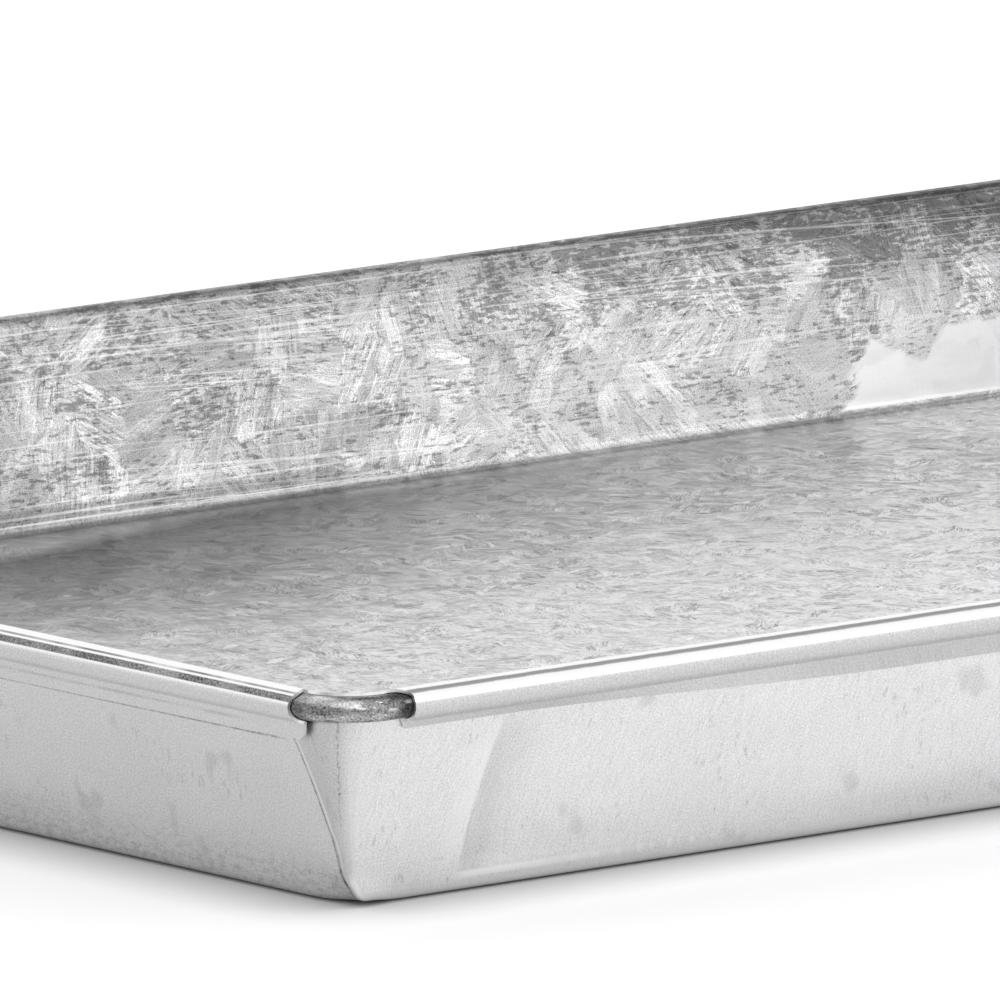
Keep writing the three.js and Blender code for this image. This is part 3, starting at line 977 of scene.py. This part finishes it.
def zinc_inside():
    coat = SheetFinish("zinc_spangle")
    up, wall = coat.up, coat.wall
    on_wall = coat.span(up, *WALL_RISE)
    back_wall = coat.math("GREATER_THAN", coat.y, FOOT_Y)
    rolled = coat.span(coat.raised(up, back_wall, -BACK_BEAD_LATER), *BEAD_RISE, soft=True)
    hem = coat.span(coat.raised(up, coat.long_wall, HEM_LONG_EARLIER), *HEM_RISE, soft=True)
    flat_wall = coat.times(on_wall, coat.minus(1.0, rolled))
    value, tint, shade = spangle(coat, *WALL_CRYSTALS)
    floor_value, floor_tint, floor_shade = spangle(coat, *FLOOR_CRYSTALS)
    grain = coat.marks(wall, 3600.0, 4600.0, 2.0, 0.8)
    hatch = coat.marks(wall, 2100.0, 260.0)
    broken = coat.marks(wall, 60.0, 0.0, 3.0)
    marks = bead_marks(coat, broken)
    painted_glare = coat.times(glare_patch(coat, hatch, shade), flat_wall, back_wall)

    wall_tone, shaded = wall_tones(coat, coat.mix(0.25, value, floor_value), grain)
    tone = coat.mix(on_wall, floor_tones(coat, floor_value, wall_tone), wall_tone)
    tone = coat.darken(tone, coat.band(up, FOOT_SHADE, 0.0022, 0.002), 0.16)
    # Painted shade on the inner bend at the left
    bend_shade = coat.times(coat.band(up, BEND_SHADE_RISE, 0.001, 0.001), coat.fall(coat.x, 0.0, 0.05))
    tone = coat.darken(tone, bend_shade, 0.3)
    tone = coat.darken(tone, coat.times(wall_dashes(coat, hatch, shade), flat_wall), 0.52)
    scratch = coat.darken(coat.times(scratches(coat), flat_wall), shaded)
    tone = coat.mix(coat.times(scratch, 0.5), tone, 0.95)
    # Painted highlight: the glare patch is white
    tone = coat.mix(painted_glare, tone, 1.0)
    tone = coat.mix(rolled, tone, coat.vary(0.97, grain, 0.05))
    tone = coat.darken(tone, marks, 0.86)
    outer, outer_rough = hem_face(coat, broken)
    tone = coat.mix(hem, tone, outer)

    rough = coat.mix(on_wall, 0.3, coat.span(value, 0.3, 0.9, 0.42, 0.3))
    rough = coat.mix(rolled, rough, 0.16)
    rough = coat.math("MAXIMUM", rough, coat.times(marks, 0.5))
    rough = coat.mix(hem, rough, outer_rough)
    strength = coat.mix(rolled, coat.mix(on_wall, 0.08, 0.085), 0.02)
    strength = coat.mix(painted_glare, strength, 0.02)
    tint = [coat.mix(on_wall, a, b) for a, b in zip(floor_tint, tint)]
    shade = [coat.mix(on_wall, a, b) for a, b in zip(floor_shade, shade)]
    return coat.metal(tone, rough, tilt(coat, tint, shade, strength))


def ear_light_and_corner_line(coat, tone, ragged):
    """The ear's outer fold, with painted light: painted shade over the ear's face, a painted
    highlight on the fold's edge, painted shade in the crevice beside it and a painted highlight on
    the toe. Where the sheet turns the corner a broken dark line runs down it."""
    beside, turned, up = coat.beside, coat.turned, coat.up
    # Painted shade over the ear's face
    on_ear = coat.times(coat.fall(beside, -0.0008, -0.0004), coat.span(turned, -0.001, 0.001))
    tone = coat.darken(tone, on_ear, 0.16)
    # Painted shade in the crevice beside the fold
    crevice = coat.times(coat.band(beside, 0.0, 0.00026, 0.0002),
                         coat.span(ragged, 0.35, 0.62, 0.4, 1.0))
    tone = coat.darken(tone, crevice, 0.76)
    # Painted highlight along the fold's edge
    edge = coat.band(beside, -0.0009, 0.0001, 0.0003)
    tone = coat.mix(coat.times(edge, 0.6), tone, 0.97)
    # Painted highlight on the toe
    toe = coat.times(coat.band(turned, 0.0004, 0.0004, 0.0007), coat.band(up, 0.004, 0.001, 0.003))
    tone = coat.mix(coat.times(toe, 0.85), tone, 1.0)
    dots = coat.marks(coat.wall, 300.0, 800.0, 3.0, 0.8)
    corner_line = coat.times(coat.band(coat.vary(turned, ragged, 0.0012), 0.0014, 0.00006, 0.00015),
                     coat.span(dots, 0.35, 0.6), coat.span(up, 0.013, 0.022))
    return coat.darken(tone, corner_line, 0.5)


KINK_RISE = (0.0046, 0.030)
KINK_PLACE = (-0.2015, -0.195)


def front_painted_light(coat, tone):
    """Painted light at the kink in the front wall: a painted highlight on the corner's side and
    painted shade on the other, and a painted highlight along the foot's line, broken into specks
    further along.
    """
    up = coat.up
    past = coat.minus(coat.x, coat.span(up, *KINK_RISE, *KINK_PLACE))
    front = coat.times(coat.math("LESS_THAN", coat.y, 0.0), coat.long_wall,
                       coat.math("LESS_THAN", coat.x, 0.0))
    tall = coat.times(coat.span(up, 0.003, 0.008), coat.span(up, 0.026, 0.032, 1.0, 0.2), front)
    # Painted highlight on the corner's side of the kink
    lit = coat.times(coat.span(past, -0.007, -0.0005, soft=True),
                     coat.fall(past, 0.0, 0.0006), tall)
    # Painted shade on the other side of the kink
    dim = coat.times(coat.span(past, 0.0, 0.0006), coat.fall(past, 0.001, 0.013, soft=True), tall)
    tone = coat.mix(coat.times(lit, 0.3), tone, 0.97)
    tone = coat.darken(tone, dim, 0.15)
    specks = coat.span(coat.marks(coat.wall, 420.0, 0.0), 0.5, 0.6)
    specks = coat.times(specks, coat.fall(past, 0.015, 0.09))
    fading = coat.math("MAXIMUM", specks, coat.fall(past, 0.012, 0.045))
    # Painted highlight along the line at the foot
    ridge = coat.times(coat.band(up, RIDGE_RISE, 0.0003, 0.0006),
                       coat.span(past, -0.001, 0.002), front, fading)
    return coat.mix(coat.times(ridge, 0.9), tone, 1.0)


def zinc_outside():
    coat = SheetFinish("zinc_brushed")
    up, wall, end_wall = coat.up, coat.wall, coat.end_wall
    tone, rough = coat.brushed()
    smudge = coat.marks(wall, 85.0, 70.0)
    tone = coat.darken(tone, coat.span(smudge, 0.66, 0.76, soft=True), 0.14)
    soil = coat.span(coat.marks(wall, 900.0, 300.0, 3.0, 0.7), 0.60, 0.70)
    soil = coat.times(soil, coat.span(coat.noise(wall, 70.0, 2.0), 0.5, 0.62))
    tone = coat.darken(tone, soil, 0.22)
    ragged = coat.noise(wall, 700.0, 2.0, 0.7)
    tone = ear_light_and_corner_line(coat, tone, ragged)

    # Painted shadow: a thin dark line below the end walls' hems
    under = coat.times(coat.band(up, UNDER_HEM, 0.00012, 0.00015),
                       coat.span(coat.beside, 0.002, 0.006),
                       coat.span(ragged, 0.3, 0.6, 0.3, 1.0), end_wall)
    tone = coat.darken(tone, under, 0.5)
    tone = front_painted_light(coat, tone)

    # Painted light: the foot is lighter at the bend. Above it the end walls are darker in patches
    # towards the foot
    foot = coat.times(coat.span(up, 0.0015, 0.0038, 0.9, 0.0), coat.mix(coat.long_wall, 0.4, 1.0))
    tone = coat.mix(foot, tone, 1.0)
    foot_patches = coat.span(coat.marks(wall, 500.0, 900.0, 4.0, 0.75), 0.45, 0.65)
    foot_patches = coat.times(foot_patches, coat.fall(up, 0.002, 0.013, soft=True), end_wall)
    return coat.metal(coat.darken(tone, foot_patches, 0.24), rough)


def cut_edge():
    coat = Finish("cut_edge")
    grain = coat.noise(coat.place("wall"), 900.0, 2.0)
    return coat.metal(coat.span(grain, 0.3, 0.7, 0.75, 0.95), coat.span(grain, 0.3, 0.7, 0.4, 0.28))


def wire_finish():
    """Matt and mottled, with a painted highlight along the crest where the wire is bare, painted
    shade below it, and painted shade at the ends where it goes in.
    """
    coat = Finish("drawn_wire")
    wall = coat.place("wall")
    _, turned, _ = coat.parts(wall)
    bare, _, _ = coat.parts(coat.place("wear"))
    mottle = coat.marks(wall, 300.0, 500.0, 4.0, 0.7)
    drawn = coat.marks(wall, 90.0, 3000.0)
    scuff = coat.marks(wall, 330.0, 900.0, 3.0, 0.7, (3.1, 0.7, 0))
    crest = coat.span(bare, -0.008, 0.003, 0.0006, 0.0018)
    # Painted highlight along the crest, lower towards one end
    crest_highlight = coat.band(coat.minus(turned, crest), 0.0, 0.0004, 0.0008)
    bright = coat.times(coat.span(scuff, 0.56, 0.66, soft=True), coat.raised(0.1, crest_highlight, 0.95))
    crest_highlight = coat.times(crest_highlight, coat.span(bare, -0.005, 0.0, 0.2, 1.0))
    tone = coat.span(mottle, 0.32, 0.70, 0.26, 0.61)
    tone = coat.vary(tone, drawn, 0.16)
    tone = coat.vary(tone, coat.noise(wall, 2800.0, 2.0, 0.8), 1.5)
    tone = coat.raised(tone, crest_highlight, 0.32)
    # Painted shade on the lower side
    lower_shade = coat.span(turned, -0.0012, 0.0002, soft=True)
    tone = coat.darken(tone, coat.times(lower_shade, coat.minus(1.0, crest_highlight)), 0.4)
    tone = coat.mix(bright, tone, 1.0)
    # Painted shade at the ends, where the wire goes into the bead
    tone = coat.darken(tone, coat.span(bare, -0.0100, -0.0062, 0.8, 0.0))
    tone = coat.darken(tone, coat.span(bare, 0.0045, 0.0065, 0.0, 0.4))
    rough = coat.mix(bright, coat.span(mottle, 0.3, 0.7, 0.5, 0.3), 0.22)
    bump = coat.node("Bump", {"Height": drawn, "Strength": 0.25, "Distance": 0.00006})
    return coat.metal(tone, rough, bump.outputs[0])


sheet_finishes = [zinc_outside(), zinc_inside(), cut_edge()]
tray = make_object("tray_sheet", sheet_skin(sheet_ring), sheet_finishes)
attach(tray, "root")
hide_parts("pan_sheet")

wire = make_object("tray_wire", wire_skin(), [wire_finish()])
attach(wire, "root")
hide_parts("rim_wire")


# The studio: a white floor and a white room, with a soft box out of the picture
FLOOR_HALF = 4.0
FLOOR_TONE = 0.8
FLOOR_GLOW = 0.36
FLOOR_DROP = 0.0002  # below the tray
GLOW_START = (-0.30, -0.20)  # where the glow that the metal sees starts and is full
SHADE_REACH = 0.02  # how far the shade under the tray's edge reaches


def make_floor():
    """Diffuse, so that it takes the tray's shadow, with a glow that makes it white where the tray
    doesn't shade it. The metal sees none of the glow to the left of the tray."""
    coat = Finish("studio_floor")
    path = coat.node("LightPath").outputs
    direct = coat.math("MAXIMUM", path["Is Camera Ray"], path["Is Transmission Ray"])
    open_sky = coat.node("AmbientOcclusion", {"Distance": SHADE_REACH}, samples=8).outputs["AO"]
    x, _, _ = coat.parts(coat.node("NewGeometry").outputs["Position"])
    in_metal = coat.times(coat.span(x, *GLOW_START), path["Is Glossy Ray"])
    glow = coat.times(coat.math("MAXIMUM", direct, in_metal), open_sky, FLOOR_GLOW)
    shade = coat.span(open_sky, 0.3, 0.95, 0.5 * FLOOR_TONE, FLOOR_TONE)
    diffuse = coat.node("BsdfDiffuse", {"Color": coat.grey(shade)})
    light = coat.node("Emission", {"Strength": glow})
    both = coat.node("AddShader", {0: diffuse.outputs[0], 1: light.outputs[0]})
    coat.join(coat.output.inputs[0], both.outputs[0])
    h = FLOOR_HALF
    mesh = bpy.data.meshes.new("floor")
    mesh.from_pydata([(-h, -h, 0), (h, -h, 0), (h, h, 0), (-h, h, 0)], [], [(0, 1, 2, 3)])
    mesh.materials.append(coat.material)
    floor = bpy.data.objects.new("floor", mesh)
    bpy.context.scene.collection.objects.link(floor)
    floor.location.z = -FLOOR_DROP


ROOM = 1.0  # brightness of the room, where 1 is white
GAP = 0.33  # brightness of the gap between the room's front and back, overhead
GAP_FRONT = (-0.16, 0.02)  # the gap's edges, as directions to the back and up
GAP_BACK = (0.38, 0.45)
GAP_RISE = (0.45, 0.6)
WHITE = (1, 1, 1, 1)


def make_world():
    """White to the camera and in the metal, but for a dark gap overhead, across the tray."""
    world = bpy.data.worlds.new("studio")
    world.use_nodes = True
    bpy.context.scene.world = world
    sky = Nodes(world.node_tree)
    _, y, z = sky.parts(sky.node("TexCoord").outputs["Generated"])
    gap = sky.times(sky.span(y, *GAP_FRONT, soft=True), sky.fall(y, *GAP_BACK, soft=True),
                    sky.span(z, *GAP_RISE, soft=True))
    bright = sky.span(gap, 0.0, 1.0, ROOM, GAP, soft=True)
    room = sky.node("Background", {"Color": WHITE, "Strength": bright}).outputs[0]
    plain = sky.node("Background", {"Color": WHITE}).outputs[0]
    seen = sky.node("LightPath").outputs["Is Camera Ray"]
    both = sky.node("MixShader", {0: seen, 1: room, 2: plain}).outputs[0]
    sky.node("OutputWorld", {0: both})


KEY_PLACE = (0.5, -0.95, 0.5)
KEY_SIZE = (0.7, 0.5)
KEY_BRIGHTNESS = 0.95


def soft_box(name, place, size, brightness):
    """A flat lamp that faces the tray. brightness is what a mirror shows of it: 1 is white."""
    data = bpy.data.lights.new(name, "AREA")
    data.shape = "RECTANGLE"
    data.size, data.size_y = size
    data.energy = brightness * size[0] * size[1] * math.pi
    lamp = bpy.data.objects.new(name, data)
    bpy.context.scene.collection.objects.link(lamp)
    lamp.location = place
    lamp.rotation_euler = (-Vector(place)).to_track_quat("-Z", "Y").to_euler()
    lamp.visible_camera = False


make_floor()
make_world()
soft_box("key", KEY_PLACE, KEY_SIZE, KEY_BRIGHTNESS)

# The photographed view, as fitted to the photograph's straight edges
VIEW_TURN = math.radians(38.068)
VIEW_TILT = math.radians(9.726)
VIEW_ROLL = math.radians(-0.652)
VIEW_OFFSET = Vector((0.05398, 5.2324, -0.02144))
LENS = 1080.0


def make_camera():
    data = bpy.data.cameras.new("camera")
    data.sensor_width = 36.0
    data.lens = LENS
    data.clip_start, data.clip_end = 0.1, 50.0
    turn = Matrix.Rotation(VIEW_TILT, 3, "X") @ Matrix.Rotation(VIEW_TURN, 3, "Z")
    turn = Matrix.Rotation(VIEW_ROLL, 3, "Y") @ turn
    right, ahead, up = turn.row[0], turn.row[1], turn.row[2]
    axes = Matrix((right, up, -ahead)).transposed()
    camera = bpy.data.objects.new("camera", data)
    bpy.context.scene.collection.objects.link(camera)
    camera.matrix_world = Matrix.Translation(-(turn.transposed() @ VIEW_OFFSET)) @ axes.to_4x4()
    bpy.context.scene.camera = camera


make_camera()
bpy.context.scene.view_settings.view_transform = "Standard"
